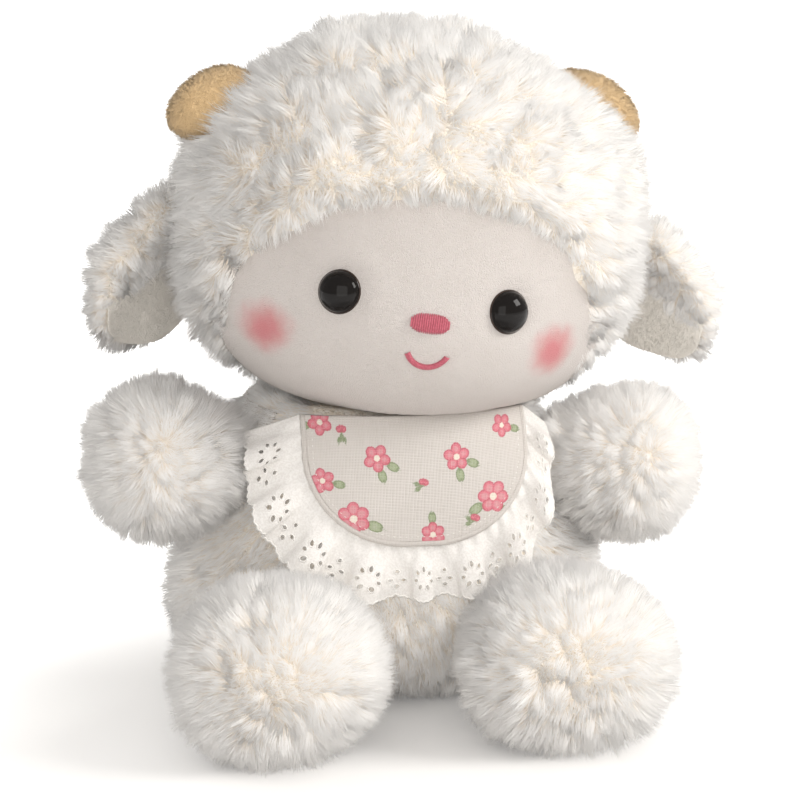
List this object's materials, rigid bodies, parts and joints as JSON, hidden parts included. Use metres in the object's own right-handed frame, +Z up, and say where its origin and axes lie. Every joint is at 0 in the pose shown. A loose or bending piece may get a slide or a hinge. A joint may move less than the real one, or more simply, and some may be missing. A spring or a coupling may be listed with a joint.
{
  "type": "seated plush sheep",
  "caption": "Seated plush sheep with a woolly head, floppy ears, small curled horns, stuffed limbs and a gathered bib.",
  "frame": {"origin": "middle of the flat underside that the sheep sits on, below the middle of the torso", "axes": "+Z up from the seat, -Y is the way the sheep faces, +X is towards the viewer's right when seen from the front"},
  "size_m": [0.2296, 0.186, 0.2376],
  "materials": {
    "wool": "long curly pile",
    "plush": "soft pile",
    "velboa": "short pile with pink blush",
    "horn_cloth": "short pile",
    "ear_cloth": "short pile",
    "filling": "loose fibre",
    "linen": "plain weave with printed flowers",
    "lace": "white eyelet embroidery",
    "thread": "satin stitch",
    "eye_plastic": "glossy",
    "washer_plastic": "matte",
    "snap_plastic": "satin"
  },
  "bodies": {
    "torso": {"torso_cover": "plush", "torso_stuffing": "filling", "bib_lining": "linen", "bib_front": "linen", "bib_binding": "linen", "bib_lace": "lace", "bib_strap_left": "linen", "bib_strap_right": "linen", "bib_snap": "snap_plastic"},
    "head": {"head_cover": "wool", "face_panel": "velboa", "head_stuffing": "filling", "nose_embroidery": "thread", "mouth_embroidery": "thread", "left_eye": "eye_plastic", "right_eye": "eye_plastic", "left_eye_washer": "washer_plastic", "right_eye_washer": "washer_plastic", "left_horn_cover": "horn_cloth", "left_horn_stuffing": "filling", "right_horn_cover": "horn_cloth", "right_horn_stuffing": "filling"},
    "left_ear": {"left_ear_back": "plush", "left_ear_lining": "ear_cloth"},
    "right_ear": {"right_ear_back": "plush", "right_ear_lining": "ear_cloth"},
    "left_arm": {"left_arm_cover": "plush", "left_arm_stuffing": "filling"},
    "right_arm": {"right_arm_cover": "plush", "right_arm_stuffing": "filling"},
    "left_leg": {"left_leg_cover": "plush", "left_leg_stuffing": "filling"},
    "right_leg": {"right_leg_cover": "plush", "right_leg_stuffing": "filling"}
  },
  "joints": [
    {"name": "neck_turn", "type": "hinge", "parent": "torso", "child": "head", "pos_m": [0.003, -0.004, 0.105], "axis": [0, 0, 1], "range_deg": [-18, 18], "stiffness_Nm_per_rad": 0.4},
    {"name": "left_ear_flap", "type": "hinge", "parent": "head", "child": "left_ear", "pos_m": [-0.07207, -0.002, 0.17631], "axis": [0, 1, 0], "range_deg": [-4, 30], "stiffness_Nm_per_rad": 0.03},
    {"name": "right_ear_flap", "type": "hinge", "parent": "head", "child": "right_ear", "pos_m": [0.08931, -0.002, 0.1622], "axis": [0, -1, 0], "range_deg": [-4, 30], "stiffness_Nm_per_rad": 0.03},
    {"name": "left_arm_raise", "type": "hinge", "parent": "torso", "child": "left_arm", "pos_m": [-0.05, -0.014, 0.085], "axis": [0, 1, 0], "range_deg": [-8, 14], "stiffness_Nm_per_rad": 0.3},
    {"name": "right_arm_raise", "type": "hinge", "parent": "torso", "child": "right_arm", "pos_m": [0.05, -0.014, 0.085], "axis": [0, -1, 0], "range_deg": [-8, 14], "stiffness_Nm_per_rad": 0.3},
    {"name": "left_leg_splay", "type": "hinge", "parent": "torso", "child": "left_leg", "pos_m": [-0.043, -0.033, 0.0287], "axis": [0, 0, -1], "range_deg": [-2, 14], "stiffness_Nm_per_rad": 0.4},
    {"name": "right_leg_splay", "type": "hinge", "parent": "torso", "child": "right_leg", "pos_m": [0.043, -0.033, 0.0287], "axis": [0, 0, 1], "range_deg": [-2, 14], "stiffness_Nm_per_rad": 0.4}
  ]
}
